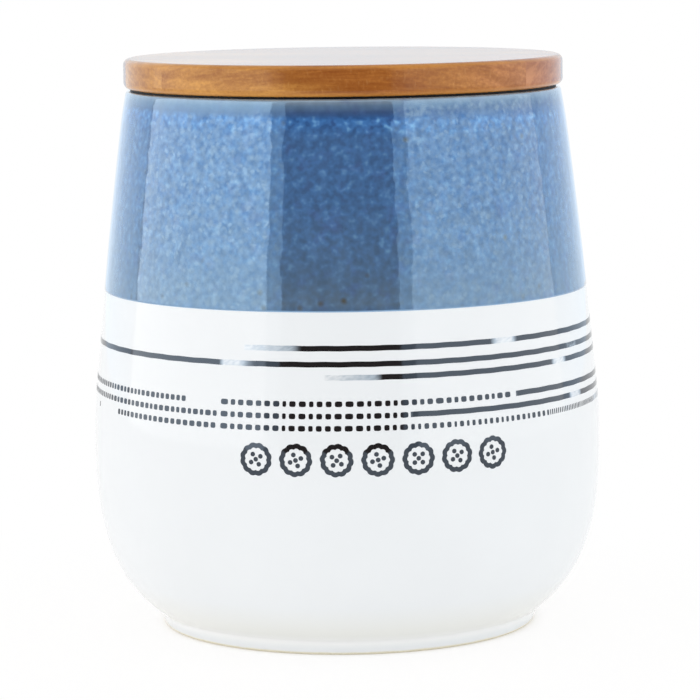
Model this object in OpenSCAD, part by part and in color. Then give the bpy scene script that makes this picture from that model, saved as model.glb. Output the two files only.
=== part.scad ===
// Biscuit jar: a glazed stoneware pot with a wooden lid that lifts off.
// The lid is glued up from staves, has a turned plug beneath it, and is sealed by a silicone ring.
// Millimetres, +Z up, origin at the centre of the foot on the surface that the jar stands on.

/* [Pot] */
// Height of the pot to the top of its rim
pot_h = 169.2; // [160:0.1:180]
// Diameter of the belly at its widest
belly_d = 160; // [152:0.5:172]
// Height of the widest part of the belly
belly_h = 65; // [56:0.5:72]
// Outer diameter of the rim, where its rounded edge starts
rim_d = 136.8; // [128:0.2:142]
// Angle at which the wall leans in under the rim
rim_lean = 9; // [5:0.5:12]
// Angle at which the wall rises from the foot
flank_rise = 35.5; // [30:0.5:44]
// How far the flank runs on straight before it turns up into the belly
flank_pull = 25.3; // [20:0.1:30]
// How far the belly stays upright below its widest part
belly_pull_low = 20.5; // [15:0.5:26]
// How far the belly stays upright above its widest part
belly_pull_high = 7.5; // [5:0.5:20]
// How far the wall under the rim keeps its lean
rim_pull = 20; // [10:0.5:35]
// Thickness of the wall
wall = 5; // [3.5:0.1:6.5]
// Thickness of the floor
floor_t = 5.5; // [4:0.1:8]
// Width of the curve between the floor and the wall inside
floor_blend = 12; // [6:0.5:18]

/* [Foot] */
// Outer diameter of the foot ring
foot_d = 118; // [108:0.5:124]
// Height of the foot ring's upright side
foot_h = 2.1; // [1.6:0.1:5]
// Width of the foot ring where it stands
foot_ring_w = 5; // [3.5:0.1:8]
// Depth of the hollow inside the foot ring
foot_hollow = 2.4; // [1.5:0.1:4]
// Radius of the foot ring's edges
foot_edge = 1.2; // [0.4:0.1:1.5]
// Radius of the hollow corner between the foot and the flank
foot_fillet = 2.8; // [0.8:0.1:3.5]

/* [Mouth] */
// Width of the rim, from its outer edge to the mouth
rim_w = 5.4; // [4.5:0.1:6.5]
// Height of the straight part of the mouth that the seal works in
mouth_land_h = 12.5; // [12:0.1:18]
// Height over which the wall thickens below the mouth
mouth_taper_h = 5; // [3:0.5:10]
// Radius of the rim's edges
lip_edge = 1.2; // [0.8:0.1:2.2]

/* [Glaze] */
// Height at which the coloured glaze ends
glaze_h = 107; // [90:0.5:125]
// How far the coloured glaze stands out over the plain one
glaze_t = 0.25; // [0.15:0.05:0.5]
// Height over which the coloured glaze thins out under the rim
glaze_thinning_h = 8; // [4:0.5:12]

/* [Lid] */
// How far the lid stands out over the rim all round
lid_overhang = 0.5; // [0:0.1:4]
// Thickness of the lid
lid_t = 9.4; // [7.5:0.1:14]
// Radius of the lid's edges
lid_edge = 2; // [1:0.1:3.5]
// Staves that the lid is glued up from
stave_count = 5; // [3:1:7]

/* [Plug] */
// Depth of the plug below the lid
plug_depth = 11; // [9.5:0.1:12]
// Space between the plug's lower lip and the mouth
plug_clearance = 4.6; // [3.5:0.1:6]
// Depth of the groove that holds the seal
groove_depth = 1.8; // [1:0.1:2.5]
// Height of the lip below the groove
plug_lip_h = 2.4; // [1.8:0.1:3.5]
// Size of the chamfer on the plug's lower edge
plug_chamfer = 0.8; // [0.4:0.1:1.2]

/* [Seal] */
// Thickness of the seal's flange between the rim and the lid
flange_t = 0.6; // [0.5:0.1:2]
// How far the flange ends short of the lid's rounded edge
flange_setback = 0.1; // [0:0.1:1]
// Thickness of the band that lies in the groove
band_t = 1.8; // [1.2:0.1:2.4]
// Fins on the seal
fin_count = 3; // [2:1:3]
// Thickness of a fin at its root
fin_root_t = 1.2; // [0.8:0.1:1.3]
// Thickness of a fin at its tip
fin_tip_t = 0.7; // [0.4:0.1:0.8]
// How far a fin is bent up at its tip
fin_rise = 1.1; // [0.5:0.1:1.4]
// Space between the fins and the mouth
fin_clearance = 0.3; // [0.2:0.05:0.5]

/* [Hidden] */
STAVES = [for (i = [1 : stave_count]) str("lid_stave_", i)];
$fn = 144;

belly_r = belly_d / 2;
rim_r = rim_d / 2;
foot_r = foot_d / 2;
mouth_r = rim_r - rim_w;
lid_r = rim_r + lid_overhang;
lid_z = pot_h + flange_t;
plug_r = mouth_r - plug_clearance;
groove_r = plug_r - groove_depth;
plug_z = lid_z - plug_depth;
groove_z = plug_z + plug_lip_h;
floor_z = foot_hollow + floor_t;

curve_steps = 24;
arc_steps = 8;

function along(steps) = [for (i = [0 : steps]) i / steps];
function dir(a) = [cos(a), sin(a)];

// Points of an arc about c from angle a to angle b
function arc(c, r, a, b) = [for (t = along(arc_steps)) c + r * dir(a + (b - a) * t)];

// A point of a Bezier curve, and the unit normal that points out of the pot there
function on_curve(p, t) =
    pow(1 - t, 3) * p[0] + 3 * pow(1 - t, 2) * t * p[1] + 3 * (1 - t) * t * t * p[2] + pow(t, 3) * p[3];
function heading(p, t) =
    pow(1 - t, 2) * (p[1] - p[0]) + 2 * (1 - t) * t * (p[2] - p[1]) + t * t * (p[3] - p[2]);
function normal(p, t) = let (h = heading(p, t)) [h.y, -h.x] / norm(h);
function beside(p, t, d) = on_curve(p, t) + d * normal(p, t);

// Where a curve that rises all the way reaches the height z, by halving
function t_at(p, z, d, lo = 0, hi = 1, n = 30) =
    let (mid = (lo + hi) / 2)
    n == 0 ? mid
    : beside(p, mid, d).y < z ? t_at(p, z, d, mid, hi, n - 1) : t_at(p, z, d, lo, mid, n - 1);

// The outer wall: one curve from the foot to the belly, one from the belly to the rim
foot_top = [foot_r + foot_fillet, foot_h] + foot_fillet * dir(90 + flank_rise);
belly = [belly_r, belly_h];
rim_start = [rim_r, pot_h - lip_edge + lip_edge * sin(rim_lean)];
flank_curve = [foot_top, foot_top + flank_pull * dir(flank_rise), belly - [0, belly_pull_low], belly];
shoulder_curve = [belly, belly + [0, belly_pull_high],
                  rim_start - rim_pull * dir(90 + rim_lean), rim_start];

// The coloured glaze: a thin coat over the upper wall that fades out under the rim
function coat(z) = glaze_t * min(1, (rim_start.y - z) / glaze_thinning_h);
glaze_start = t_at(shoulder_curve, glaze_h, 0);
coat_start = t_at(shoulder_curve, glaze_h + glaze_t, 0);

outer_wall = concat(
    [for (t = along(curve_steps)) if (t > 0) on_curve(flank_curve, t)],
    [for (t = along(curve_steps)) if (t > 0) on_curve(shoulder_curve, t * glaze_start)],
    [for (t = along(curve_steps))
        let (u = coat_start + t * (1 - coat_start), p = on_curve(shoulder_curve, u))
        if (t < 1) beside(shoulder_curve, u, coat(p.y))]);

foot = concat(
    [[0, foot_hollow], [foot_r - foot_ring_w, foot_hollow]],
    arc([foot_r - foot_ring_w + foot_edge, foot_edge], foot_edge, 180, 270),
    arc([foot_r - foot_edge, foot_edge], foot_edge, 270, 360),
    arc([foot_r + foot_fillet, foot_h], foot_fillet, 180, 90 + flank_rise));

rim_centre = rim_start - lip_edge * dir(rim_lean);
rim = concat(
    arc(rim_centre, lip_edge, rim_lean, 90),
    arc([mouth_r + lip_edge, pot_h - lip_edge], lip_edge, 90, 180));

// The inner wall runs beside the outer one, from the mouth's taper down to the curve into the floor
taper_z = pot_h - mouth_land_h - mouth_taper_h;
wall_top = t_at(shoulder_curve, taper_z, -wall);
blend_z = floor_z + floor_blend / 2;
wall_bottom = t_at(flank_curve, blend_z, -wall);
blend_end = beside(flank_curve, wall_bottom, -wall);
blend_way = heading(flank_curve, wall_bottom);
blend_corner = blend_end - blend_way * (blend_end.y - floor_z) / blend_way.y;
blend_start = blend_corner - [floor_blend, 0];

inner_wall = concat(
    [[mouth_r, pot_h - mouth_land_h]],
    [for (t = along(curve_steps)) beside(shoulder_curve, wall_top * (1 - t), -wall)],
    [for (t = along(curve_steps)) if (t > 0) beside(flank_curve, 1 - t * (1 - wall_bottom), -wall)],
    [for (t = along(arc_steps)) if (t > 0)
        pow(1 - t, 2) * blend_end + 2 * (1 - t) * t * blend_corner + t * t * blend_start],
    [[0, floor_z]]);

stave_w = 2 * lid_r / stave_count;

plug_half = [
    [0, plug_z], [plug_r - plug_chamfer, plug_z], [plug_r, plug_z + plug_chamfer],
    [plug_r, groove_z], [groove_r, groove_z], [groove_r, lid_z], [0, lid_z]];

flange_r = lid_r - lid_edge - flange_setback;
band_r = groove_r + band_t;
fin_pitch = (pot_h - groove_z - fin_rise) / fin_count;
fin_r = mouth_r - fin_clearance;

module pot() rotate_extrude() polygon(concat(foot, outer_wall, rim, inner_wall));

module above_glaze_line() translate([-belly_d, -belly_d, glaze_h]) cube([2 * belly_d, 2 * belly_d, pot_h]);

module jar_body() {
    color("#f2f2ef") difference() { pot(); above_glaze_line(); }
    color("#6d93bf") intersection() { pot(); above_glaze_line(); }
}

// The whole lid before it is parted into staves: a flat disc with rounded edges
module lid_disc() {
    rotate_extrude() {
        translate([0, lid_z]) square([lid_r - lid_edge, lid_t]);
        translate([0, lid_z + lid_edge]) square([lid_r, lid_t - 2 * lid_edge]);
        for (z = [lid_edge, lid_t - lid_edge]) translate([lid_r - lid_edge, lid_z + z]) circle(lid_edge);
    }
}

module lid_stave(i) {
    color(i % 2 == 0 ? "peru" : "#b8763a")
        intersection() {
            lid_disc();
            translate([-lid_r, (i - 1) * stave_w - lid_r, lid_z]) cube([2 * lid_r, stave_w, lid_t]);
        }
}

module lid_plug() {
    color("#a8703a") rotate_extrude() polygon(plug_half);
}

// One fin, rooted in the band at the height z and bent up at its tip
module fin(z) {
    root_r = band_r - band_t / 2;
    rotate_extrude() polygon([
        [root_r, z], [band_r, z], [fin_r, z + fin_rise],
        [fin_r, z + fin_rise + fin_tip_t], [band_r, z + fin_root_t], [root_r, z + fin_root_t]]);
}

module seal_ring() {
    color("#2a282e") {
        rotate_extrude() polygon([
            [groove_r, groove_z], [band_r, groove_z], [band_r, pot_h],
            [flange_r, pot_h], [flange_r, lid_z], [groove_r, lid_z]]);
        for (i = [0 : fin_count - 1]) fin(groove_z + i * fin_pitch);
    }
}

jar_body();
for (i = [1 : stave_count]) lid_stave(i);
lid_plug();
seal_ring();
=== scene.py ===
import math
import random

import bmesh
import bpy
from mathutils import Matrix, Vector


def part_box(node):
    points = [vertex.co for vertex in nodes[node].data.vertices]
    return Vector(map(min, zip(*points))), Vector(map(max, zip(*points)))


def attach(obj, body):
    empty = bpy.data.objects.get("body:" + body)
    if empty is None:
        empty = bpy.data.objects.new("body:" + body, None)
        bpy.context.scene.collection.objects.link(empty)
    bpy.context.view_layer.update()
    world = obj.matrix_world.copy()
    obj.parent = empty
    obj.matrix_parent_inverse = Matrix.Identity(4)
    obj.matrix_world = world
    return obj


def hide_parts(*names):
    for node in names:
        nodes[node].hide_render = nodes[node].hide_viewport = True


# Biscuit jar: stoneware pot with a blue reactive glaze over a white one, painted lines, and an acacia lid.
# Sizes are in millimetres beside the code that uses them, and meshes are in metres.

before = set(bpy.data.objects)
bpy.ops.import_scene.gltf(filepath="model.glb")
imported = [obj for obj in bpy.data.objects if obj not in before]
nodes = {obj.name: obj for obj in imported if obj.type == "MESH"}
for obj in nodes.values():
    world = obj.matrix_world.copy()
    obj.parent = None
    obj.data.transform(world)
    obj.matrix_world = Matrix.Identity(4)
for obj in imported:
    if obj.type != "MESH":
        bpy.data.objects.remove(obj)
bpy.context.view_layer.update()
mm = 0.001  # metres
toMm = 1000  # from metres, for patterns that are given in mm
print("frame loaded:", ", ".join(sorted(nodes)))


# Small helpers

def toLinear(code):  # sRGB hex to Blender's linear colour
    parts = [int(code[i:i + 2], 16) / 255 for i in (1, 3, 5)]
    return [p / 12.92 if p <= 0.04045 else ((p + 0.055) / 1.055) ** 2.4 for p in parts] + [1.0]


def addNode(tree, kind, settings={}, links={}, stops=()):
    node = tree.nodes.new(kind)
    for name, value in settings.items():
        setattr(node, name, value)
    for key, value in links.items():
        if isinstance(value, bpy.types.NodeSocket):
            tree.links.new(value, node.inputs[key])
        else:
            node.inputs[key].default_value = value
    for i, (place, colour) in enumerate(stops):
        points = node.color_ramp.elements
        point = points[i] if i < 2 else points.new(place)
        point.position = place
        point.color = toLinear(colour) if isinstance(colour, str) else [colour] * 3 + [1]
    return node


def emptyMaterial(name):
    material = bpy.data.materials.new(name)
    material.use_nodes = True
    material.node_tree.nodes.clear()
    return material, material.node_tree


def newMaterial(name, surface):  # surface holds the values that are the same all over
    material, tree = emptyMaterial(name)
    shader = addNode(tree, "ShaderNodeBsdfPrincipled", {}, surface)
    addNode(tree, "ShaderNodeOutputMaterial", {}, {"Surface": shader.outputs[0]})
    place = addNode(tree, "ShaderNodeTexCoord").outputs["Object"]
    return material, tree, shader, place


def newObject(name, mesh, material=None):
    thing = bpy.data.objects.new(name, mesh)
    bpy.context.scene.collection.objects.link(thing)
    if material:
        mesh.materials.append(material)
    return thing


def meshFrom(bm, name, sharpAngle=35):
    mesh = bpy.data.meshes.new(name)
    bm.to_mesh(mesh)
    bm.free()
    mesh.shade_smooth()
    mesh.set_sharp_from_angle(angle=math.radians(sharpAngle))
    return mesh


# Camera, a long lens in front of the jar that looks slightly down

view = {
    "place": (-0.007, -1.1, 0.226),  # metres
    "yaw": 0.425,  # degrees, as are the next two
    "pitch": 7.256,
    "roll": -0.69,
    "lens": 179.74,  # mm
    "sensor": 36,
    "clip": (0.05, 30),  # metres
}


def makeCamera():
    data = bpy.data.cameras.new("camera")
    data.lens = view["lens"]
    data.sensor_width = view["sensor"]
    data.clip_start, data.clip_end = view["clip"]
    camera = bpy.data.objects.new("camera", data)
    bpy.context.scene.collection.objects.link(camera)
    yaw, pitch, roll = (math.radians(view[name]) for name in ("yaw", "pitch", "roll"))
    turn = (Matrix.Rotation(-yaw, 3, "Z") @ Matrix.Rotation(math.pi / 2 - pitch, 3, "X")
            @ Matrix.Rotation(roll, 3, "Z"))
    camera.location = view["place"]
    camera.rotation_euler = turn.to_euler()
    bpy.context.scene.camera = camera


makeCamera()
print("camera placed")


# The pot's outline, radius and height in mm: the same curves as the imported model, with a foot that leans out.
# A pull is how far a Bezier handle reaches from its end of the curve.

outline = {
    "potHeight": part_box("jar_body")[1].z / mm,
    "bellyRadius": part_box("jar_body")[1].x / mm,
    "bellyHeight": 65,
    "bellyPullLow": 20.5,
    "bellyPullHigh": 7.5,
    "rimRadius": 68.4,
    "rimLean": 9,  # degrees
    "rimPull": 20,
    "rimWidth": 5.4,
    "lipEdge": 1.2,
    "mouthLand": 12.5,
    "mouthTaper": 5,
    "wall": 5,
    "flankRise": 35.5,  # degrees
    "flankPull": 25.3,
    "footRadius": 59,
    "footHeight": 2.1,
    "footWidth": 5,
    "footHollow": 2.4,
    "hollowChamfer": (1, 0.3),  # width and height
    "footEdge": 1.2,
    "footFillet": 2.8,
    "footLean": 20,  # degrees from upright
    "footBlend": 2.4,  # radius between the foot and the flank
    "floor": 5.5,
    "floorBlend": 12,  # how far the inside corner reaches over the floor
}
coat = {
    "edge": 106.8,  # where the blue glaze ends
    "thick": 0.25,
    "thinning": 8,  # height over which it thins out under the rim
    "bead": 0.6,  # height of the rounded lower edge
    "sunk": 0.06,  # how deep its back lies in the pot
    "step": 0.1,  # height over which the pot's wall steps in behind it
    "overRim": 4.5,  # how far it runs down inside the mouth
    "tail": 1,  # height over which it ends there
}


def aim(degrees):  # one unit long, 0 is outwards and 90 is up
    return Vector((math.cos(math.radians(degrees)), math.sin(math.radians(degrees))))


def arc(centre, radius, start, end, steps=10):
    return [centre + radius * aim(start + (end - start) * i / steps) for i in range(steps + 1)]


def onCurve(p, t, beside=0):  # a point of a Bezier curve, moved out by beside
    point = ((1 - t) ** 3 * p[0] + 3 * (1 - t) ** 2 * t * p[1]
             + 3 * (1 - t) * t * t * p[2] + t ** 3 * p[3])
    way = ((1 - t) ** 2 * (p[1] - p[0]) + 2 * (1 - t) * t * (p[2] - p[1])
           + t * t * (p[3] - p[2])).normalized()
    return point + beside * Vector((way.y, -way.x)), way


def whereHeight(p, z, beside=0):  # the t at which a curve reaches a height
    low, high = 0.0, 1.0
    for _ in range(30):
        middle = (low + high) / 2
        if onCurve(p, middle, beside)[0].y < z:
            low = middle
        else:
            high = middle
    return low


o = outline
footTop = (Vector((o["footRadius"] + o["footFillet"], o["footHeight"]))
           + o["footFillet"] * aim(90 + o["flankRise"]))
belly = Vector((o["bellyRadius"], o["bellyHeight"]))
rimStart = Vector((o["rimRadius"], o["potHeight"] - o["lipEdge"] + o["lipEdge"] * aim(o["rimLean"]).y))
flank = [footTop, footTop + o["flankPull"] * aim(o["flankRise"]),
         belly - Vector((0, o["bellyPullLow"])), belly]
shoulder = [belly, belly + Vector((0, o["bellyPullHigh"])),
            rimStart - o["rimPull"] * aim(90 + o["rimLean"]), rimStart]
mouthRadius = o["rimRadius"] - o["rimWidth"]
rimCentre = rimStart - o["lipEdge"] * aim(o["rimLean"])
mouthCentre = Vector((mouthRadius + o["lipEdge"], o["potHeight"] - o["lipEdge"]))


def coatThickness(z):  # round at the lower edge, even above it, and thin at the rim
    thinned = coat["thick"] * min(1, max(0, rimStart.y - z) / coat["thinning"])
    low = min(1, max(0, (z - coat["edge"]) / coat["bead"]))
    return thinned * math.sqrt(1 - (1 - low) ** 2)


def rimArcs(sunk):  # over the rim from outside to inside, as deep as sunk under its surface
    return (arc(rimCentre, o["lipEdge"] - sunk, o["rimLean"], 90)[1:]
            + arc(mouthCentre, o["lipEdge"] - sunk, 90, 180))


def potOutline():  # from the middle of the underside, up the outside, over the rim and down to the floor
    # the hollow under the foot and its ring, whose outside leans and blends into the flank
    edge = o["footEdge"]
    inner = o["footRadius"] - o["footWidth"]
    across, up = o["hollowChamfer"]
    points = [Vector((0, o["footHollow"])), Vector((inner - across, o["footHollow"])),
              Vector((inner, o["footHollow"] - up))]
    points += arc(Vector((inner + edge, edge)), edge, 180, 270, 6)
    wallWay, flankWay = aim(90 - o["footLean"]), aim(o["flankRise"])
    foot = footTop - wallWay * footTop.y / wallWay.y
    reach = edge * math.tan(math.radians(90 - o["footLean"]) / 2)
    points += arc(foot + Vector((-reach, edge)), edge, 270, 360 - o["footLean"], 6)
    blend = o["footBlend"] * math.tan(math.radians(90 - o["footLean"] - o["flankRise"]) / 2)
    centre = footTop - blend * wallWay + o["footBlend"] * Vector((wallWay.y, -wallWay.x))
    points += arc(centre, o["footBlend"], 180 - o["footLean"], 90 + o["flankRise"], 6)

    # the flank and the shoulder, which steps in behind the coat
    after = whereHeight(flank, footTop.y + blend * flankWay.y)
    points += [onCurve(flank, after + (1 - after) * i / 44)[0] for i in range(1, 45)]
    glazeStart = whereHeight(shoulder, coat["edge"] + coat["step"])
    points += [onCurve(shoulder, glazeStart * i / 24)[0] for i in range(1, 25)]
    behindCoat = [glazeStart + (1 - glazeStart) * i / 16 for i in range(1, 17)]
    points += [onCurve(shoulder, t, -coat["sunk"])[0] for t in behindCoat]
    points += rimArcs(coat["sunk"])
    coatEnd = o["potHeight"] - coat["overRim"]
    points += [Vector((mouthRadius + coat["sunk"], coatEnd + 2 * coat["step"])),
               Vector((mouthRadius, coatEnd + coat["step"]))]

    # the mouth, and the inner wall beside the outer one
    taperZ = o["potHeight"] - o["mouthLand"] - o["mouthTaper"]
    wallTop = whereHeight(shoulder, taperZ, -o["wall"])
    points.append(Vector((mouthRadius, taperZ + o["mouthTaper"])))
    points += [onCurve(shoulder, wallTop * (1 - i / 20), -o["wall"])[0] for i in range(21)]
    floorZ = o["footHollow"] + o["floor"]
    low = whereHeight(flank, floorZ + o["floorBlend"] / 2, -o["wall"])
    points += [onCurve(flank, 1 - i / 20 * (1 - low), -o["wall"])[0] for i in range(1, 21)]

    # the corner inside and the floor
    blendEnd, way = onCurve(flank, low, -o["wall"])
    corner = blendEnd - way * (blendEnd.y - floorZ) / way.y
    blendStart = corner - Vector((o["floorBlend"], 0))
    steps = [i / 10 for i in range(1, 11)]
    points += [(1 - t) ** 2 * blendEnd + 2 * (1 - t) * t * corner + t * t * blendStart for t in steps]
    points.append(Vector((0, floorZ)))
    return points


def coatOutline():  # a closed thin section: outer face up, over the rim, and back behind it
    low = whereHeight(shoulder, coat["edge"])
    bead = whereHeight(shoulder, coat["edge"] + coat["bead"])
    rise = [low + (bead - low) * (i / 8) ** 2 for i in range(9)]
    rise += [bead + (1 - bead) * i / 40 for i in range(1, 41)]
    outer = [onCurve(shoulder, t, coatThickness(onCurve(shoulder, t)[0].y))[0] for t in rise]
    outer += rimArcs(0)
    coatEnd = o["potHeight"] - coat["overRim"]
    outer.append(Vector((mouthRadius, coatEnd + coat["tail"])))
    outer.append(Vector((mouthRadius + coat["sunk"] / 2, coatEnd)))
    back = [onCurve(shoulder, low + (1 - low) * i / 16, -coat["sunk"])[0] for i in range(17)]
    back += rimArcs(coat["sunk"])
    return outer + back[::-1]


def spun(points, name, closed=False, steps=256):  # an outline turned about Z
    bm = bmesh.new()
    verts = [bm.verts.new((p.x * mm, 0, p.y * mm)) for p in points]
    pairs = list(zip(verts, verts[1:]))
    if closed:
        pairs.append((verts[-1], verts[0]))
    edges = [bm.edges.new(pair) for pair in pairs]
    bmesh.ops.spin(bm, geom=verts + edges, cent=(0, 0, 0), axis=(0, 0, 1), angle=2 * math.pi,
                   steps=steps, use_merge=True)
    bmesh.ops.remove_doubles(bm, verts=bm.verts, dist=0.002 * mm)  # closes the poles on the axis
    bmesh.ops.recalc_face_normals(bm, faces=bm.faces)
    return meshFrom(bm, name)


# Glazes and paint

fired = {"waves": 7.69, "peel": 2.5, "drawn": 0.7}  # mm, and both are drawn out upright, as the glaze ran


def glazeRipple(tree, place, heights):  # slow waves and orange peel of a fired glaze, heights in mm
    size = addNode(tree, "ShaderNodeMapping", {}, {
        "Vector": place, "Scale": (toMm, toMm, fired["drawn"] * toMm)}).outputs[0]
    waves = addNode(tree, "ShaderNodeTexNoise", {}, {
        "Vector": size, "Scale": 1 / fired["waves"], "Detail": 1.0}).outputs[0]
    peel = addNode(tree, "ShaderNodeTexNoise", {}, {
        "Vector": size, "Scale": 1 / fired["peel"], "Detail": 1.5}).outputs[0]
    wavy = addNode(tree, "ShaderNodeBump", {}, {"Height": waves, "Distance": heights[0] * mm}).outputs[0]
    return addNode(tree, "ShaderNodeBump", {}, {
        "Height": peel, "Distance": heights[1] * mm, "Normal": wavy}).outputs[0]


def byHeight(tree, height, points):  # a ramp whose stops are given in mm
    low, high = points[0][0], points[-1][0]
    up = addNode(tree, "ShaderNodeMapRange", {}, {0: height, 1: low * mm, 2: high * mm}).outputs[0]
    stops = [((z - low) / (high - low), value) for z, value in points]
    return addNode(tree, "ShaderNodeValToRGB", {}, {0: up}, [stops[0], stops[-1]] + stops[1:-1]).outputs[0]


# White tin glaze, dipped: an even, slightly cool white with a wet gloss and a soft orange peel. Above the
# foot a darker, warmer band is painted shade with painted warm light from the table, and the foot ring is
# painted paler, as painted light against the shade under the belly. The foot's edge is wiped bare to matt
# clay.
whiteGlaze = {
    "colour": "#ecf0f3",
    "shade": "#e6eaed",
    "cloud": 35.7,  # mm, size of its faint clouds
    # low is painted shade and light by height: a darker, warmer band above the foot and a paler foot ring
    "low": [(2.2, "#f0f3f4"), (4.4, "#f2f4f5"), (6.6, "#e9ebe8"), (17, "#e9ebe8")],  # by height in mm
    "paintedFootShadingShare": [(2.0, 0.0), (3.4, 0.9), (8.5, 0.85), (17, 0.0)],
    "ripple": (0.012, 0.003),  # mm, height of its waves and of its orange peel
    "roughness": 0.07,
    "ior": 1.36,
    "clay": "#ede9d8",
    "clayDark": "#d9d3bb",
    "clayRoughness": 0.85,
    "grit": 0.714,  # mm
    "bareHeight": (0.6, 1.05),  # mm, below which the foot is bare and above which it is glazed
    "ragged": 6.25,  # mm between the bends of the line where it was wiped
    "raggedHeight": 0.6,
}


def whiteGlazeColour(tree, place):
    cloud = addNode(tree, "ShaderNodeTexNoise", {}, {
        "Vector": place, "Scale": 1 / (whiteGlaze["cloud"] * mm), "Detail": 4})
    return addNode(tree, "ShaderNodeMix", {"data_type": "RGBA"}, {
        0: cloud.outputs[0], 6: toLinear(whiteGlaze["colour"]), 7: toLinear(whiteGlaze["shade"])}).outputs[2]


def makeWhiteGlaze():
    material, tree, shader, place = newMaterial("white_tin_glaze", {"IOR": whiteGlaze["ior"]})
    height = addNode(tree, "ShaderNodeSeparateXYZ", {}, {0: place}).outputs[2]
    # painted shade above the foot and painted light on the foot ring, mixed in by height
    glaze = addNode(tree, "ShaderNodeMix", {"data_type": "RGBA"}, {
        0: byHeight(tree, height, whiteGlaze["paintedFootShadingShare"]), 6: whiteGlazeColour(tree, place),
        7: byHeight(tree, height, whiteGlaze["low"])}).outputs[2]
    grit = addNode(tree, "ShaderNodeTexNoise", {}, {
        "Vector": place, "Scale": 1 / (whiteGlaze["grit"] * mm), "Detail": 4})
    clay = addNode(tree, "ShaderNodeMix", {"data_type": "RGBA"}, {
        0: grit.outputs[0], 6: toLinear(whiteGlaze["clayDark"]), 7: toLinear(whiteGlaze["clay"])})
    ragged = addNode(tree, "ShaderNodeTexNoise", {}, {
        "Vector": place, "Scale": 1 / (whiteGlaze["ragged"] * mm), "Detail": 3})
    edge = addNode(tree, "ShaderNodeMath", {"operation": "MULTIPLY_ADD"}, {
        0: ragged.outputs[0], 1: -whiteGlaze["raggedHeight"] * mm, 2: height}).outputs[0]
    bareLow, bareHigh = [(z - whiteGlaze["raggedHeight"] / 2) * mm for z in whiteGlaze["bareHeight"]]
    bareMask = addNode(tree, "ShaderNodeMapRange", {}, {
        0: edge, 1: bareLow, 2: bareHigh, 3: 1.0, 4: 0.0}).outputs[0]
    colour = addNode(tree, "ShaderNodeMix", {"data_type": "RGBA"}, {
        0: bareMask, 6: glaze, 7: clay.outputs[2]})
    rough = addNode(tree, "ShaderNodeMapRange", {}, {
        0: bareMask, 3: whiteGlaze["roughness"], 4: whiteGlaze["clayRoughness"]})
    tree.links.new(colour.outputs[2], shader.inputs["Base Color"])
    tree.links.new(rough.outputs[0], shader.inputs["Roughness"])
    tree.links.new(glazeRipple(tree, place, whiteGlaze["ripple"]), shader.inputs["Normal"])
    return material


# Blue reactive glaze, dipped over the white one: small milky flecks float in a deeper blue, brightest in a
# row below the rim and thinning out towards the edge, where the glaze turns greyer and iron specks show. The
# rim is painted pale: the glaze breaks thin there, and the paleness is partly a painted highlight of light
# from above on its rounding. A clear glassy layer lies over it all, so lamps show in it sharp-edged. Lists of
# pairs hold a height in mm and the colour or share there.
blueGlaze = {
    # the last stops of the ground, pale on the rim, are partly a painted highlight of light from above
    "ground": [(107, "#4b6787"), (107.7, "#566d88"), (109, "#5d7288"), (118, "#536c8a"), (140, "#46648d"),
               (158, "#446491"), (163.4, "#335b93"), (165.3, "#415a83"), (167.2, "#5f7894"),
               (168.8, "#8a9bab")],
    "patchSize": 4,  # mm, as are the next two
    "runWidth": 3.33,
    "runLength": 27.8,
    "patchTone": (0.885, 1.075),  # darkest and palest, as shares of the ground
    "fleck": "#5c9ee8",
    "fleckPale": "#8fcbf8",
    "fleckSize": 2.0,  # mm
    "fleckShare": [(107, 0.16), (116, 0.17), (128, 0.3), (158.8, 0.3), (160.9, 0.6), (162.8, 0.72),
                   (164.3, 0.03)],
    "clusterSize": 5,  # mm, over which the flecks crowd and thin
    "clusterShare": (0.6, 1.4),
    "blush": "#4f5a8e",  # faint violet clouds
    "blushShare": 0.3,
    "iron": "#544c2c",
    "ironSpacing": 6,  # mm
    "ironShare": 0.85,
    "ironNone": [(107, 0.45), (111, 0.6), (120, 0.86), (160, 0.93), (168, 0.9)],  # places without a speck
    # the bead at the lower edge: thin glaze, and a painted highlight of light from below
    "beadThinAndHighlight": [(106.8, 0.9), (107.0, 0.45), (107.4, 0.0)],
    "beadThinAndHighlightColour": "#a9c8e8",
    "crystalSize": 1.75,  # mm
    "crystalShare": [(107, 0.75), (118, 0.85), (132, 1.2), (161, 1.25), (163.4, 1.4), (165, 0.2)],
    "gleam": "#99c6e9",  # what the coat reflects, from between the crystals to on them
    "gleamDull": "#70a0ca",
    "gleamBright": "#bbe4ff",
    "relief": 0.003,  # mm, of the flecks under the clear layer
    "ripple": (0.11, 0.012),  # mm, height of its waves and of its orange peel
    "askew": 1.1,  # degrees: the jar was dipped a little askew, so the bright row hangs lower on the right
    "crystalAskew": (-2, 0.99),  # the crystals' slant as a multiple of askew, and their scale in height
    "surface": {  # the crystals reflect strongly, and the clear layer over them is the coat
        "IOR": 2.6, "Roughness": 0.045, "Coat Weight": 1.0, "Coat Roughness": 0.03, "Coat IOR": 1.3},
}


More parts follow.
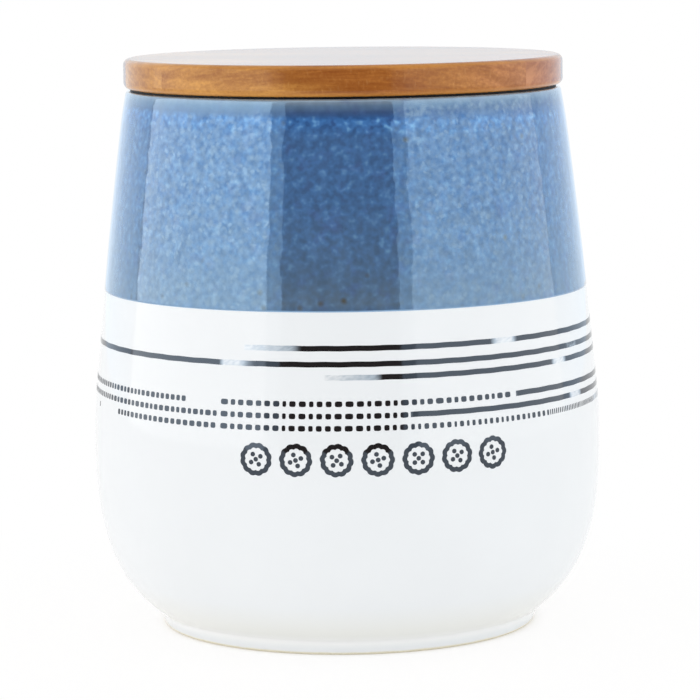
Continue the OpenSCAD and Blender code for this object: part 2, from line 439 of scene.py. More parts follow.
def softDots(tree, size, spacing):  # soft uneven dots, few of them bright
    push = addNode(tree, "ShaderNodeTexNoise", {}, {
        "Vector": size, "Scale": 0.9 / spacing, "Detail": 0}).outputs[1]
    pushed = addNode(tree, "ShaderNodeVectorMath", {"operation": "MULTIPLY_ADD"}, {
        0: push, 1: [1.2 * spacing] * 3, 2: size}).outputs[0]
    cells = addNode(tree, "ShaderNodeTexVoronoi", {}, {"Vector": pushed, "Scale": 1 / spacing})
    dot = addNode(tree, "ShaderNodeMapRange", {"interpolation_type": "SMOOTHSTEP"}, {
        0: cells.outputs["Distance"], 1: 0.0, 2: 0.7, 3: 0.6, 4: 0.0}).outputs[0]
    luck = addNode(tree, "ShaderNodeSeparateColor", {}, {0: cells.outputs["Color"]}).outputs[0]
    luck = addNode(tree, "ShaderNodeMath", {"operation": "POWER"}, {0: luck, 1: 2.0}).outputs[0]
    return addNode(tree, "ShaderNodeMath", {"operation": "MULTIPLY"}, {0: dot, 1: luck}).outputs[0]


def makeBlueGlaze():
    material, tree, shader, place = newMaterial("blue_reactive_glaze", blueGlaze["surface"])
    height = addNode(tree, "ShaderNodeSeparateXYZ", {}, {0: place}).outputs[2]
    lean = math.tan(math.radians(blueGlaze["askew"]))
    rowHeight = addNode(tree, "ShaderNodeVectorMath", {"operation": "DOT_PRODUCT"}, {
        0: place, 1: (lean, 0, 1)}).outputs["Value"]
    slant, rise = blueGlaze["crystalAskew"]
    crystalHeight = addNode(tree, "ShaderNodeVectorMath", {"operation": "DOT_PRODUCT"}, {
        0: place, 1: (slant * lean, 0, rise)}).outputs["Value"]
    size = addNode(tree, "ShaderNodeMapping", {}, {"Vector": place, "Scale": (toMm, toMm, toMm)}).outputs[0]
    drawn = addNode(tree, "ShaderNodeMapping", {}, {
        "Vector": size, "Scale": (1, 1, blueGlaze["runWidth"] / blueGlaze["runLength"])}).outputs[0]

    # the deeper blue, in soft patches and faint runs
    patches = addNode(tree, "ShaderNodeTexNoise", {}, {
        "Vector": size, "Scale": 1 / blueGlaze["patchSize"], "Detail": 3}).outputs[0]
    runs = addNode(tree, "ShaderNodeTexNoise", {}, {
        "Vector": drawn, "Scale": 1 / blueGlaze["runWidth"], "Detail": 2}).outputs[0]
    both = addNode(tree, "ShaderNodeMath", {"operation": "ADD"}, {0: patches, 1: runs}).outputs[0]
    darkest, palest = blueGlaze["patchTone"]
    dark = addNode(tree, "ShaderNodeMapRange", {}, {
        0: both, 1: 0.75, 2: 1.25, 3: darkest, 4: palest}).outputs[0]
    # the ground by height, pale on the rim partly as a painted highlight
    ground = byHeight(tree, height, blueGlaze["ground"])
    deep = addNode(tree, "ShaderNodeVectorMath", {"operation": "SCALE"}, {
        0: ground, "Scale": dark}).outputs[0]

    # the flecks: a soft mottle everywhere, with a few that are brighter
    fleckNoise = addNode(tree, "ShaderNodeTexNoise", {}, {
        "Vector": size, "Scale": 1 / blueGlaze["fleckSize"], "Detail": 1, "Roughness": 0.4}).outputs[0]
    cluster = addNode(tree, "ShaderNodeTexNoise", {}, {
        "Vector": size, "Scale": 1 / blueGlaze["clusterSize"], "Detail": 2}).outputs[0]
    fewest, most = blueGlaze["clusterShare"]
    near = addNode(tree, "ShaderNodeMapRange", {}, {
        0: cluster, 1: 0.3, 2: 0.7, 3: fewest, 4: most}).outputs[0]
    fleck = addNode(tree, "ShaderNodeMapRange", {}, {0: fleckNoise, 1: 0.34, 2: 0.82}).outputs[0]
    share = byHeight(tree, rowHeight, blueGlaze["fleckShare"])
    amount = addNode(tree, "ShaderNodeMath", {"operation": "MULTIPLY"}, {0: share, 1: near}).outputs[0]
    mix = addNode(tree, "ShaderNodeMath", {"operation": "MULTIPLY"}, {0: fleck, 1: amount}).outputs[0]
    fleckColour = addNode(tree, "ShaderNodeValToRGB", {}, {0: fleck}, [
        (0.5, blueGlaze["fleck"]), (0.95, blueGlaze["fleckPale"])]).outputs[0]
    withFlecks = addNode(tree, "ShaderNodeMix", {"data_type": "RGBA"}, {
        0: mix, 6: deep, 7: fleckColour}).outputs[2]
    blush = addNode(tree, "ShaderNodeMapRange", {}, {
        0: cluster, 1: 0.55, 2: 0.75, 3: 0.0, 4: blueGlaze["blushShare"]}).outputs[0]
    withFlecks = addNode(tree, "ShaderNodeMix", {"data_type": "RGBA"}, {
        0: blush, 6: withFlecks, 7: toLinear(blueGlaze["blush"])}).outputs[2]

    # iron specks, most of them just above the edge
    cells = addNode(tree, "ShaderNodeTexVoronoi", {}, {"Vector": size, "Scale": 1 / blueGlaze["ironSpacing"]})
    dot = addNode(tree, "ShaderNodeMapRange", {}, {
        0: cells.outputs["Distance"], 1: 0.03, 2: 0.22, 3: blueGlaze["ironShare"], 4: 0.0}).outputs[0]
    lucky = addNode(tree, "ShaderNodeSeparateColor", {}, {0: cells.outputs["Color"]}).outputs[0]
    chosen = addNode(tree, "ShaderNodeMath", {"operation": "GREATER_THAN"}, {
        0: lucky, 1: byHeight(tree, height, blueGlaze["ironNone"])}).outputs[0]
    iron = addNode(tree, "ShaderNodeMath", {"operation": "MULTIPLY"}, {0: dot, 1: chosen}).outputs[0]
    withIron = addNode(tree, "ShaderNodeMix", {"data_type": "RGBA"}, {
        0: iron, 6: withFlecks, 7: toLinear(blueGlaze["iron"])}).outputs[2]

    # the bead at the lower edge is painted pale: partly thin glaze with the white showing through, partly a
    # painted highlight of light from below on its rounding
    beadThinAndHighlightMask = byHeight(tree, height, blueGlaze["beadThinAndHighlight"])
    colour = addNode(tree, "ShaderNodeMix", {"data_type": "RGBA"}, {
        0: beadThinAndHighlightMask, 6: withIron, 7: toLinear(blueGlaze["beadThinAndHighlightColour"])}).outputs[2]
    tree.links.new(colour, shader.inputs["Base Color"])

    # tiny crystals under the clear layer reflect more than the glass between them
    crystals = addNode(tree, "ShaderNodeTexNoise", {"noise_dimensions": "4D"}, {
        "Vector": size, "W": 3.0, "Scale": 1 / blueGlaze["crystalSize"], "Detail": 1.4}).outputs[0]
    crystals = addNode(tree, "ShaderNodeMath", {"operation": "MULTIPLY_ADD"}, {
        0: crystals, 1: 1.0, 2: softDots(tree, size, blueGlaze["crystalSize"])}).outputs[0]
    glints = addNode(tree, "ShaderNodeValToRGB", {}, {0: crystals}, [
        (0.32, blueGlaze["gleamDull"]), (0.86, blueGlaze["gleamBright"])]).outputs[0]
    crystalShare = byHeight(tree, crystalHeight, blueGlaze["crystalShare"])
    gleam = addNode(tree, "ShaderNodeMix", {"data_type": "RGBA", "clamp_factor": False}, {
        0: crystalShare, 6: toLinear(blueGlaze["gleam"]), 7: glints}).outputs[2]
    tree.links.new(gleam, shader.inputs["Specular Tint"])

    surface = glazeRipple(tree, place, blueGlaze["ripple"])
    relief = addNode(tree, "ShaderNodeBump", {}, {
        "Height": fleck, "Distance": blueGlaze["relief"] * mm, "Normal": surface}).outputs[0]
    tree.links.new(relief, shader.inputs["Normal"])
    tree.links.new(surface, shader.inputs["Coat Normal"])
    return material


# Black underglaze paint, brushed on in thin lines: deep black at full strength, blue-grey where the brush
# runs dry, and as glossy as the glaze, with a cool gleam.
paint = {"thin": "#aebbc7", "full": "#242122", "gleam": "#cde6ff", "ior": 1.8}


def makePaint():
    material, tree, shader, place = newMaterial("black_underglaze_paint", {
        "Roughness": whiteGlaze["roughness"], "IOR": paint["ior"], "Specular Tint": toLinear(paint["gleam"])})
    ink = addNode(tree, "ShaderNodeAttribute", {"attribute_name": "ink"}).outputs["Fac"]
    thin = addNode(tree, "ShaderNodeMapRange", {}, {0: ink, 1: 0.0, 2: 0.5}).outputs[0]
    full = addNode(tree, "ShaderNodeMapRange", {}, {0: ink, 1: 0.5, 2: 1.0}).outputs[0]
    washed = addNode(tree, "ShaderNodeMix", {"data_type": "RGBA"}, {
        0: thin, 6: whiteGlazeColour(tree, place), 7: toLinear(paint["thin"])}).outputs[2]
    colour = addNode(tree, "ShaderNodeMix", {"data_type": "RGBA"}, {
        0: full, 6: washed, 7: toLinear(paint["full"])})
    tree.links.new(colour.outputs[2], shader.inputs["Base Color"])
    tree.links.new(glazeRipple(tree, place, whiteGlaze["ripple"]), shader.inputs["Normal"])
    return material


# Pot and coat

pot = newObject("pot", spun(potOutline(), "pot"), makeWhiteGlaze())
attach(pot, "jar")
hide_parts("jar_body")

glazeCoat = newObject("glaze_coat", spun(coatOutline(), "glaze_coat", closed=True), makeBlueGlaze())
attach(glazeCoat, "jar")
print("pot and glaze coat spun")


# Painted lines: thin films on the wall, placed by the angle round the jar (0 at the front, + to the right)

film = {
    "thick": 0.05,  # mm, as are the next four
    "proud": 0.035,  # how far its face stands out from the wall
    "lineHeight": 1.6,
    "dashHeight": 1.7,
    "wobble": 0.04,  # of the hand that drew the long lines
    "wobbleTurn": 0.9,  # radians of the wobble for a degree round the jar
    "step": 0.6,  # degrees between points of a long line
    "rounding": 0.15,  # share by which a dash's corners are drawn in
    "uneven": 0.35,  # how much the strength wavers where the paint is thin
    "scratchy": {0.75: 0.3, 0.8: 0.3},  # strengths at which it wavers more, and by how much
    "bare": 0.02,  # strength under which no paint is left
}

# Each line is a run of (angle, strength of the paint); 0 is bare.
lines = [
    {"z": 96.2, "run": [(-23.5, 0), (-19, 0.3), (-12.6, 0.5), (-10.6, 1), (33.6, 1), (35.4, 0.25),
                        (37, 0.06), (39.4, 0.08), (41.2, 1), (118, 1), (126, 0.5), (134, 0), (171, 0),
                        (180, 0.45), (183, 1), (222, 1), (226, 0.4), (236, 0)]},
    {"z": 91.5, "run": [(-131, 0), (-129.5, 1), (-29.4, 1), (-28.4, 0.12), (-26, 0.2), (-24.6, 0.12),
                        (-22.9, 0.75), (-21, 1), (59.6, 1), (60.5, 0.8), (64.5, 0.8), (65.5, 1), (147, 1),
                        (149, 0.2), (152, 0.1), (153, 1), (206, 1), (209, 0.3), (214, 0)]},
    {"z": 87.6, "run": [(-5.2, 0), (0, 0.3), (5.6, 0.5), (7.4, 1), (52.6, 1), (53.8, 0.25), (55, 0.05),
                        (57.4, 0.06), (58.8, 1), (96, 1), (104, 0.45), (112, 0), (196, 0), (206, 0.5),
                        (208, 1), (249, 1), (251, 0.2), (253, 0)]},
    {"z": 79.9, "run": [(39.8, 0.9), (40.2, 1), (132, 1), (133, 0)]},
    {"z": 76.3, "run": [(13.4, 0.9), (13.8, 1), (58.9, 1), (60.2, 0.2), (62, 0.12), (64, 0.25), (65.5, 1),
                        (158, 1), (159, 0)]},
    {"z": 72.7, "run": [(74, 0.2), (77, 0.6), (82, 0.8), (104, 0.8), (116, 0.4), (124, 0)]},
]

# Each row of dashes is some spans: first and last angle, then shortest and longest dash and the gap in mm.
dashRows = [
    {"z": 79.85, "spans": [(-92, -37.4, 1.2, 2.1, 0.7), (-28.8, 38.9, 1.1, 2.5, 0.92),
                           (148, 228, 1.2, 2.8, 0.9)]},
    {"z": 76.23, "spans": [(-118, -29.2, 1.2, 2.1, 0.7), (-28.8, 12.6, 1.1, 2.5, 0.92),
                           (176, 236, 1.2, 2.6, 0.9)]},
    {"z": 72.63, "spans": [(-76.2, -75, 0.9, 1.0, 0.9), (-62.6, -29.2, 1.2, 2.0, 0.75),
                           (-28.8, 12.2, 1.1, 2.5, 0.92), (13.4, 49.8, 0.8, 1.5, 1.0),
                           (50.5, 75.2, 0.45, 0.6, 0.55), (132, 250, 0.9, 1.9, 0.9)]},
]


def wallPoint(angle, z, proud):  # a point on the outer wall, angle in degrees
    curve = shoulder if z >= o["bellyHeight"] else flank
    point = onCurve(curve, whereHeight(curve, z), proud)[0]
    turn = math.radians(angle)
    return Vector((point.x * math.sin(turn), -point.x * math.cos(turn), point.y)) * mm


def wallAngle(length, z):  # degrees that a length in mm takes up round the wall
    curve = shoulder if z >= o["bellyHeight"] else flank
    return math.degrees(length / onCurve(curve, whereHeight(curve, z))[0].x)


def strengthAt(run, angle):  # between two points of a run
    for (a, strengthA), (b, strengthB) in zip(run, run[1:]):
        if a <= angle <= b:
            return strengthA + (strengthB - strengthA) * (angle - a) / (b - a)
    return 0


def layFilm(bm, ink, angle, z, width, height, columns, rows, strength, rounding=0.0, wobble=0.0):
    # A grid from -1 to 1 both ways is laid on the wall: width in degrees, height in mm.
    made = bmesh.ops.create_grid(bm, x_segments=columns, y_segments=rows, size=1)["verts"]
    for vert in made:
        across, up = vert.co.x, vert.co.y
        pull = 1 - rounding * (abs(across) * abs(up)) ** 2
        here = angle + across * pull * width / 2
        vert[ink] = strength(here)
        sway = wobble * math.sin(here * film["wobbleTurn"])
        vert.co = wallPoint(here, z + up * pull * height / 2 + sway, film["proud"])


def paintLine(bm, ink, line):
    dice = random.Random(int(line["z"] * 10))
    first, last = line["run"][0][0], line["run"][-1][0]
    columns = round((last - first) / film["step"])

    def strength(angle):
        full = strengthAt(line["run"], angle)
        uneven = film["uneven"] * (1 - full) + film["scratchy"].get(full, 0)
        return min(1, max(0, full + uneven * (dice.random() - 0.5) * (full > film["bare"])))

    layFilm(bm, ink, (first + last) / 2, line["z"], last - first, film["lineHeight"], columns, 4, strength,
            wobble=film["wobble"])


def dashLengths(seed, shortest, longest):  # the rows of one band share their rhythm, so they line up
    dice = random.Random(seed)
    while True:
        yield dice.uniform(shortest, longest)


def paintDashes(bm, ink, z, span):
    first, last, shortest, longest, gap = span
    lengths = dashLengths(round(first * 10), shortest, longest)
    angle = first
    while angle < last:
        length = wallAngle(next(lengths), z)
        if angle + length > last + wallAngle(gap, z):
            break
        layFilm(bm, ink, angle + length / 2, z, length, film["dashHeight"], 3, 3, lambda angle: 1.0,
                rounding=film["rounding"])
        angle += length + wallAngle(gap, z)


# A row of little round biscuits, each with a scalloped edge and five holes
biscuits = {
    "z": 63.2,
    "first": -20.3,  # degrees round the jar, as is the next
    "pitch": 8.8,
    "count": 7,
    "radius": 4.7,
    "stroke": 1.5,
    "scallops": 12,
    "scallopDepth": 0.35,
    "hole": 0.72,  # radius
    "holeRing": 1.75,  # radius of the ring that four of the holes lie on
    "turns": (0.2, 1.3),  # radians, least and most that one is turned
    "seed": 7,
}


def ringOnWall(ink, ring, centreAngle, x, z):
    for vert in ring:
        vert[ink] = 1.0
        height = biscuits["z"] + z + vert.co.y
        vert.co = wallPoint(centreAngle + wallAngle(x + vert.co.x, height), height, film["proud"])


def paintBiscuit(bm, ink, angle, tilt):
    b = biscuits
    made = bmesh.ops.create_circle(bm, cap_ends=False, radius=1, segments=96)["verts"]
    edges = list(dict.fromkeys(edge for vert in made for edge in vert.link_edges))
    inner = bmesh.ops.extrude_edge_only(bm, edges=edges)["geom"]
    inner = [piece for piece in inner if isinstance(piece, bmesh.types.BMVert)]
    for ring, radius in ((made, b["radius"]), (inner, b["radius"] - b["stroke"])):
        for vert in ring:
            turn = math.atan2(vert.co.y, vert.co.x)
            wave = radius + b["scallopDepth"] * abs(math.sin((turn + tilt) * b["scallops"] / 2))
            vert.co = Vector((math.cos(turn), math.sin(turn), 0)) * wave
    ringOnWall(ink, made + inner, angle, 0, 0)
    places = [(0, 0)] + [(b["holeRing"] * math.cos(tilt + i * math.pi / 2),
                          b["holeRing"] * math.sin(tilt + i * math.pi / 2)) for i in range(4)]
    for x, z in places:
        hole = bmesh.ops.create_circle(bm, cap_ends=True, radius=b["hole"], segments=16)["verts"]
        ringOnWall(ink, hole, angle, x, z)


def makeLines():
    bm = bmesh.new()
    ink = bm.verts.layers.float.new("ink")
    for line in lines:
        paintLine(bm, ink, line)
    for row in dashRows:
        for span in row["spans"]:
            paintDashes(bm, ink, row["z"], span)
    dice = random.Random(biscuits["seed"])
    for i in range(biscuits["count"]):
        paintBiscuit(bm, ink, biscuits["first"] + i * biscuits["pitch"], dice.uniform(*biscuits["turns"]))
    bmesh.ops.recalc_face_normals(bm, faces=bm.faces)
    level = Vector((1, 1, 0))  # every film then faces away from the axis, and its thickness goes inwards
    inward = [face for face in bm.faces if face.normal.dot(face.calc_center_median() * level) < 0]
    bmesh.ops.reverse_faces(bm, faces=inward)
    bmesh.ops.solidify(bm, geom=bm.faces[:], thickness=film["thick"] * mm)
    return meshFrom(bm, "painted_lines")


paintedLines = newObject("painted_lines", makeLines(), makePaint())
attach(paintedLines, "jar")
print("lines painted:", len(paintedLines.data.polygons), "faces")


# Lid

# Acacia, planed and turned, with a satin lacquer: warm brown heartwood that turns to golden sapwood along
# slanted borders, though the front stave simply turns golden towards the left and the bottom, thin dark lines
# and pores along the grain, and a gloss that whitens at a low angle. Each stave is a board of its own: "turn"
# in degrees and "shift" in mm place it in the grain, and "areas" lists another tone of wood or the painted
# pink sheen, the way to it, the distance of its border in mm, and its share there. The pink areas toward the
# right end of the front two staves are painted sheen.
boards = [
    {"node": "lid_stave_1", "dark": "#7e4116", "body": "#9a5b26", "pale": "#b47233",
     "turn": 0.6, "shift": 0,
     # the first area turns this stave golden towards the left and the bottom
     "areas": [("gold", (-1, 0, -3), -511, 1.0), ("gold", (1, 0, 0), 22, 0.33),
               # pink area: painted sheen toward the right end
               ("pinkSheen", (1, 0, 0), 46, 0.6)]},
    {"node": "lid_stave_2", "dark": "#7e4116", "body": "#9a5b26", "pale": "#b47233",
     "turn": -0.9, "shift": 53,
     "areas": [("gold", (-1, 0, 0), 20, 1.0), ("gold", (1, 0, 0), 20, 0.33),
               # pink area: painted sheen toward the right end
               ("pinkSheen", (1, 0, 0), 40, 0.8)]},
    {"node": "lid_stave_3", "dark": "#552a14", "body": "#7d4520", "pale": "#a56a35",
     "turn": 0.7, "shift": 117,
     "areas": [("gold", (0, 1, 1), 185, 1.0)]},
    {"node": "lid_stave_4", "dark": "#713c1c", "body": "#9a5d2c", "pale": "#bf8444",
     "turn": -1.2, "shift": 171,
     "areas": [("gold", (-1, -2, 0), -20, 1.0)]},
    {"node": "lid_stave_5", "dark": "#653318", "body": "#8d5226", "pale": "#b57c3f",
     "turn": 0.9, "shift": 229,
     "areas": [("gold", (1, 0, -1), -130, 1.0)]},
    {"node": "lid_plug", "dark": "#6f3a19", "body": "#955a2c", "pale": "#b9824a",
     "turn": 0.5, "shift": 307,
     "areas": [("gold", (0, 1, 0), 50, 1.0)]},
]
acacia = {
    "shiftWay": (1, 0.37, 0.61),
    "ringTilt": 25,  # degrees that the growth rings tilt for a degree of turn
    "ringWidth": 4.2,  # mm, as are the next four
    "swaySize": 11.11,
    "sway": 6,
    "lineWidth": 0.75,
    "mottle": 1.0,
    "poreWidth": 0.22,  # mm, as are the next three
    "poreLength": 5.0,
    "areaBlend": 18,
    "areaWaver": 50,  # how far the rings push the border of an area to and fro
    "gold": ("#ab7236", "#d3994c"),  # sapwood, from dark to pale
    # painted sheen: a pinkish tone, from dark to pale, for the light toward the right end of the lid
    "pinkSheen": ("#9c5b3c", "#bf8058"),
    "smudge": 2.6,  # mm, of reddish smudges in the upper part
    "smudgeShare": [(169.8, 0.0), (173.6, 0.05), (175.4, 0.45), (177.2, 0.55), (178.3, 0.2), (179.2, 0.25)],
    "smudgeColour": "#83461f",
    # painted highlight: golden lines along the lid's rounded lower and upper edges, by height
    "edgeHighlight": [(169.8, 0.75), (170.5, 0.4), (171.4, 0.0), (177.9, 0.0), (178.6, 0.5), (179.1, 0.0)],
    "edgeHighlightColour": "#d08d39",  # painted highlight on the rounded edges, where light catches them
    "poreShare": 0.4,
    "poreDepth": 0.015,  # mm
    "rays": (1.2, 1.2, 0.4),  # how many to a mm: short pale flecks that cross the grain
    "rayColour": "#dfae6c",
    "rayShare": 0.12,
    "surface": {  # the lacquer is the coat, and the wood under it hardly reflects
        "IOR": 1.1, "Roughness": 0.35, "Coat Weight": 1.0, "Coat Roughness": 0.12, "Coat IOR": 1.33},
}


def grain(tree, place, stretch, width, detail):  # noise drawn out along the board, across it and through it
    drawn = addNode(tree, "ShaderNodeMapping", {}, {"Vector": place, "Scale": stretch}).outputs[0]
    return addNode(tree, "ShaderNodeTexNoise", {}, {
        "Vector": drawn, "Scale": 1 / width, "Detail": detail}).outputs[0]


def makeAcacia(board):
    material, tree, shader, place = newMaterial("acacia_" + board["node"], acacia["surface"])
    moved = addNode(tree, "ShaderNodeMapping", {}, {
        "Vector": place, "Location": [board["shift"] * part for part in acacia["shiftWay"]],
        "Rotation": (math.radians(board["turn"] * acacia["ringTilt"]), 0, math.radians(board["turn"])),
        "Scale": (toMm, toMm, toMm)}).outputs[0]

    # growth rings that sway along the board, fine dark lines and a mottle give how pale the wood is
    long = addNode(tree, "ShaderNodeMapping", {}, {"Vector": moved, "Scale": (0.05, 0.35, 1)}).outputs[0]
    sway = addNode(tree, "ShaderNodeTexNoise", {}, {
        "Vector": long, "Scale": 1 / acacia["swaySize"], "Detail": 2}).outputs[1]
    bent = addNode(tree, "ShaderNodeVectorMath", {"operation": "MULTIPLY_ADD"}, {
        0: sway, 1: (0, acacia["sway"], acacia["sway"]), 2: long}).outputs[0]
    rings = addNode(tree, "ShaderNodeTexNoise", {}, {
        "Vector": bent, "Scale": 1 / acacia["ringWidth"], "Detail": 4, "Roughness": 0.55}).outputs[0]
    fineLines = grain(tree, moved, (0.03, 0.6, 1), acacia["lineWidth"], 2)
    mottles = addNode(tree, "ShaderNodeTexNoise", {}, {
        "Vector": moved, "Scale": 1 / acacia["mottle"], "Detail": 2}).outputs[0]
    level = addNode(tree, "ShaderNodeMath", {"operation": "MULTIPLY_ADD"}, {
        0: fineLines, 1: 0.4, 2: rings}).outputs[0]
    level = addNode(tree, "ShaderNodeMath", {"operation": "MULTIPLY_ADD"}, {
        0: mottles, 1: 0.3, 2: level}).outputs[0]
    tone = addNode(tree, "ShaderNodeValToRGB", {}, {0: level}, [
        (0.54, board["dark"]), (1.0, board["pale"]), (0.84, board["body"])]).outputs[0]

    # the areas of sapwood and of painted pink sheen, whose borders follow the rings
    for kind, way, border, share in board["areas"]:
        dark, pale = acacia[kind]
        other = addNode(tree, "ShaderNodeValToRGB", {}, {0: level}, [(0.65, dark), (1.0, pale)]).outputs[0]
        across = addNode(tree, "ShaderNodeVectorMath", {"operation": "DOT_PRODUCT"}, {
            0: place, 1: [toMm * part for part in way]}).outputs["Value"]
        uneven = addNode(tree, "ShaderNodeMath", {"operation": "MULTIPLY_ADD"}, {
            0: rings, 1: acacia["areaWaver"], 2: across}).outputs[0]
        middle = border + acacia["areaWaver"] / 2
        here = addNode(tree, "ShaderNodeMapRange", {"interpolation_type": "SMOOTHSTEP"}, {
            0: uneven, 1: middle - acacia["areaBlend"], 2: middle + acacia["areaBlend"], 4: share}).outputs[0]
        tone = addNode(tree, "ShaderNodeMix", {"data_type": "RGBA"}, {0: here, 6: tone, 7: other}).outputs[2]

    # reddish smudges, painted highlights along the edges, pores and rays
    height = addNode(tree, "ShaderNodeSeparateXYZ", {}, {0: place}).outputs[2]
    smudges = addNode(tree, "ShaderNodeMapRange", {"interpolation_type": "SMOOTHSTEP"}, {
        0: grain(tree, moved, (0.06, 0.2, 1), acacia["smudge"], 2), 1: 0.35, 2: 0.7}).outputs[0]
    smudges = addNode(tree, "ShaderNodeMath", {"operation": "MULTIPLY"}, {
        0: smudges, 1: byHeight(tree, height, acacia["smudgeShare"])}).outputs[0]
    tone = addNode(tree, "ShaderNodeMix", {"data_type": "RGBA"}, {
        0: smudges, 6: tone, 7: toLinear(acacia["smudgeColour"])}).outputs[2]
    # painted highlight along the rounded edges
    tone = addNode(tree, "ShaderNodeMix", {"data_type": "RGBA"}, {
        0: byHeight(tree, height, acacia["edgeHighlight"]), 6: tone, 7: toLinear(acacia["edgeHighlightColour"])}).outputs[2]
    poreSize = (1 / acacia["poreLength"], 1 / acacia["poreWidth"], 1 / acacia["poreWidth"])
    pores = addNode(tree, "ShaderNodeMapRange", {}, {
        0: grain(tree, moved, poreSize, 1, 2), 1: 0.6, 2: 0.72, 3: 0.0, 4: acacia["poreShare"]}).outputs[0]
    colour = addNode(tree, "ShaderNodeMix", {"data_type": "RGBA"}, {
        0: pores, 6: tone, 7: toLinear(board["dark"])}).outputs[2]
    rays = addNode(tree, "ShaderNodeMapRange", {}, {
        0: grain(tree, moved, acacia["rays"], 1, 1), 1: 0.6, 2: 0.8, 4: acacia["rayShare"]}).outputs[0]
    colour = addNode(tree, "ShaderNodeMix", {"data_type": "RGBA"}, {
        0: rays, 6: colour, 7: toLinear(acacia["rayColour"])}).outputs[2]
    tree.links.new(colour, shader.inputs["Base Color"])
    bump = addNode(tree, "ShaderNodeBump", {"invert": True}, {
        "Height": pores, "Distance": acacia["poreDepth"] * mm})
    tree.links.new(bump.outputs[0], shader.inputs["Normal"])
    return material


# Silicone, moulded: dark, soft-looking and nearly matt, with a little dust.
silicone = {"dark": "#0c0b0e", "pale": "#151317", "dust": 1.11, "surface": {"IOR": 1.3, "Roughness": 0.6}}


def makeSilicone():
    material, tree, shader, place = newMaterial("moulded_silicone", silicone["surface"])
    dust = addNode(tree, "ShaderNodeTexNoise", {}, {
        "Vector": place, "Scale": 1 / (silicone["dust"] * mm), "Detail": 3}).outputs[0]
    colour = addNode(tree, "ShaderNodeValToRGB", {}, {0: dust}, [
        (0.35, silicone["dark"]), (0.75, silicone["pale"])]).outputs[0]
    tree.links.new(colour, shader.inputs["Base Color"])
    return material


def dress(name, material):
    nodes[name].data.materials.clear()
    nodes[name].data.materials.append(material)


for board in boards:
    dress(board["node"], makeAcacia(board))
dress("seal_ring", makeSilicone())
print("lid finished")


# Studio: white surround, softboxes, a dark space behind the camera, and a white table. The softboxes light
# what is matt, and gloss sees the flags in their place, so each can be set by itself.

studio = {
    "fill": 0.9,  # light of the surround on the object
    "distance": 1.2,  # metres, of the flags
    "behind": 0.05,  # how far behind them the softboxes stand
    "softboxes": {  # angles round the jar that each spans, 0 towards the camera, its colour and strength
        "left_softbox": ((-114.5, -36.0), "#fffcfa", 1.74),
        "right_softbox": ((30, 113), "#ffffff", 1.5),
        "front_softbox": ((-35.9, 29.9), "#ffffff", 1.04),
        "back_softbox": ((163, 197), "#ffffff", 1.2),
    },
    "flags": {  # the same for three windows, a frame, the sides, and the dark space at the camera
        "left_window": ((-114.5, -36.0), "#ffffff", 2.0),
        "right_window": ((30, 113), "#ffffff", 1.48),
        "back_window": ((163, 197), "#f4faff", 1.03),
        "left_side": ((-163, -115.4), "#e6f3ff", 1.24),
        "right_side": ((113, 163), "#e4f2ff", 1.2),
        "frame": ((-115.4, -114.5), "#ffffff", 0.85),
        "left_rim": ((-36.5, -30), "#eaf6ff", 0.8),
        "right_rim": ((24, 30.5), "#eaf6ff", 0.8),
        "gap": ((-30, 24), "#ffffff", 0.0),
    },
    "boxSpan": (-0.35, 0.75),  # lowest and highest point of the softboxes, metres
    "flagSpan": (-1.0, 1.2),
    "topLight": 0.75,
    "topSize": (1.5, 1.0),
    "topPlace": (0, -0.6, 1.15),
    "topTilt": 28,  # degrees from facing straight down towards facing the jar
    "tableColour": "#f7f5f3",
    "tableLight": 0.125,
    "tableFront": -0.75,
    "tableBack": 1.2,
    "tableHalfWidth": 1.1,
    "shadow": 0.8,  # share of plain white that the table has beside the foot, for the camera
    "shadowReach": (0.06, 0.2),  # from where to where it pales to plain white
    "contact": 0.25,  # the same for the dark line under the foot
    "contactReach": (0.0585, 0.0625),
}


def seenDirectly(tree):  # 1 for camera, glossy and transmission rays
    path = addNode(tree, "ShaderNodeLightPath").outputs
    seen = path["Is Camera Ray"]
    for name in ("Is Glossy Ray", "Is Transmission Ray"):
        seen = addNode(tree, "ShaderNodeMath", {"operation": "MAXIMUM"}, {0: seen, 1: path[name]}).outputs[0]
    return seen


def makeWorld():
    world = bpy.data.worlds.new("surround")
    bpy.context.scene.world = world
    world.use_nodes = True
    tree = world.node_tree
    tree.nodes.clear()
    strength = addNode(tree, "ShaderNodeMapRange", {}, {
        0: seenDirectly(tree), 3: studio["fill"], 4: 1.0}).outputs[0]
    sky = addNode(tree, "ShaderNodeBackground", {}, {"Color": toLinear("#ffffff"), "Strength": strength})
    addNode(tree, "ShaderNodeOutputWorld", {}, {0: sky.outputs[0]})


def makeCard(name, width, height, place, material):  # place turns and moves a card that lies in the XY plane
    bm = bmesh.new()
    bmesh.ops.create_grid(bm, x_segments=1, y_segments=1, size=0.5)
    bmesh.ops.scale(bm, vec=(width, height, 1), verts=bm.verts)
    bmesh.ops.transform(bm, verts=bm.verts, matrix=place)
    card = newObject(name, meshFrom(bm, name), material)
    card.visible_camera = False
    return card


def standCard(name, span, distance, low, high, material):  # upright, facing the jar over a span of angles
    middle, half = math.radians(sum(span) / 2), math.radians((span[1] - span[0]) / 2)
    place = (Matrix.Rotation(middle, 4, "Z") @ Matrix.Translation((0, -distance, (low + high) / 2))
             @ Matrix.Rotation(math.pi / 2, 4, "X"))
    return makeCard(name, 2 * distance * math.tan(half), high - low, place, material)


def emitting(name, strength, colour="#ffffff"):
    material, tree = emptyMaterial(name)
    glow = addNode(tree, "ShaderNodeEmission", {}, {"Color": toLinear(colour), "Strength": strength})
    addNode(tree, "ShaderNodeOutputMaterial", {}, {0: glow.outputs[0]})
    return material


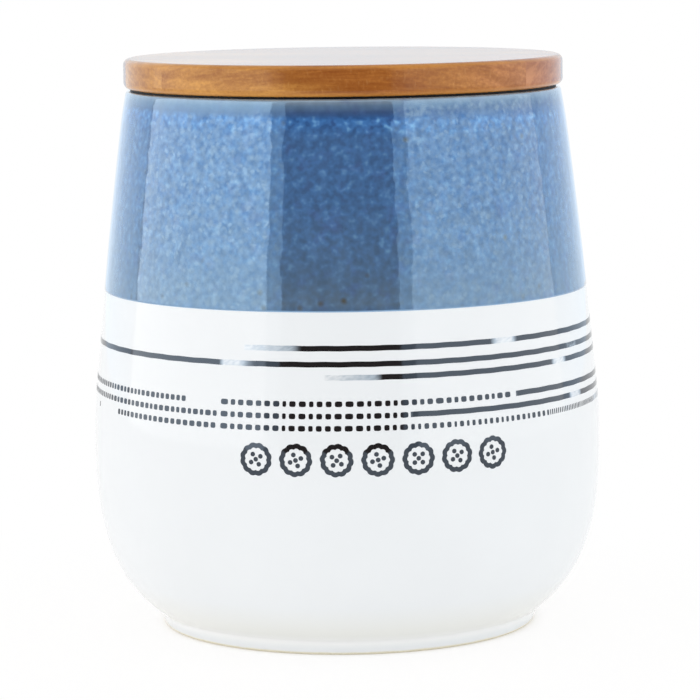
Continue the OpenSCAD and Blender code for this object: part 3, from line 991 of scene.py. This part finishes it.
def makeTable():
    front, back, half = studio["tableFront"], studio["tableBack"], studio["tableHalfWidth"]
    material, tree = emptyMaterial("white_table")
    matt = addNode(tree, "ShaderNodeBsdfDiffuse", {}, {"Color": toLinear(studio["tableColour"])}).outputs[0]
    lightTable = addNode(tree, "ShaderNodeEmission", {}, {"Strength": studio["tableLight"]}).outputs[0]
    matt = addNode(tree, "ShaderNodeAddShader", {}, {0: matt, 1: lightTable}).outputs[0]
    glow = addNode(tree, "ShaderNodeEmission", {}, {"Strength": 1.0}).outputs[0]
    place = addNode(tree, "ShaderNodeTexCoord").outputs["Object"]
    away = addNode(tree, "ShaderNodeVectorMath", {"operation": "LENGTH"}, {0: place}).outputs["Value"]
    near, far = studio["shadowReach"]
    pale = addNode(tree, "ShaderNodeMapRange", {"interpolation_type": "SMOOTHSTEP"}, {
        0: away, 1: near, 2: far, 3: studio["shadow"], 4: 1.0}).outputs[0]
    near, far = studio["contactReach"]
    contact = addNode(tree, "ShaderNodeMapRange", {}, {
        0: away, 1: near, 2: far, 3: studio["contact"], 4: 1.0}).outputs[0]
    pale = addNode(tree, "ShaderNodeMath", {"operation": "MULTIPLY"}, {0: pale, 1: contact}).outputs[0]
    share = addNode(tree, "ShaderNodeMath", {"operation": "MULTIPLY"}, {
        0: seenDirectly(tree), 1: pale}).outputs[0]
    surface = addNode(tree, "ShaderNodeMixShader", {}, {0: share, 1: matt, 2: glow})
    addNode(tree, "ShaderNodeOutputMaterial", {}, {0: surface.outputs[0]})
    place = Matrix.Translation((0, (front + back) / 2, 0))
    table = makeCard("table", 2 * half, back - front, place, material)
    table.visible_camera = True


makeWorld()
for name, (span, colour, strength) in studio["softboxes"].items():
    distance = studio["distance"] + studio["behind"]
    box = standCard(name, span, distance, *studio["boxSpan"], emitting(name, strength, colour))
    box.visible_glossy = False
tilted = Matrix.Rotation(math.radians(180 + studio["topTilt"]), 4, "X")
makeCard("top_softbox", *studio["topSize"], Matrix.Translation(studio["topPlace"]) @ tilted,
         emitting("top_softbox", studio["topLight"]))
for name, (span, colour, strength) in studio["flags"].items():
    flag = standCard(name, span, studio["distance"], *studio["flagSpan"], emitting(name, strength, colour))
    flag.visible_diffuse = False
    flag.visible_shadow = False
makeTable()
bpy.context.scene.view_settings.view_transform = "Standard"
print("studio set")
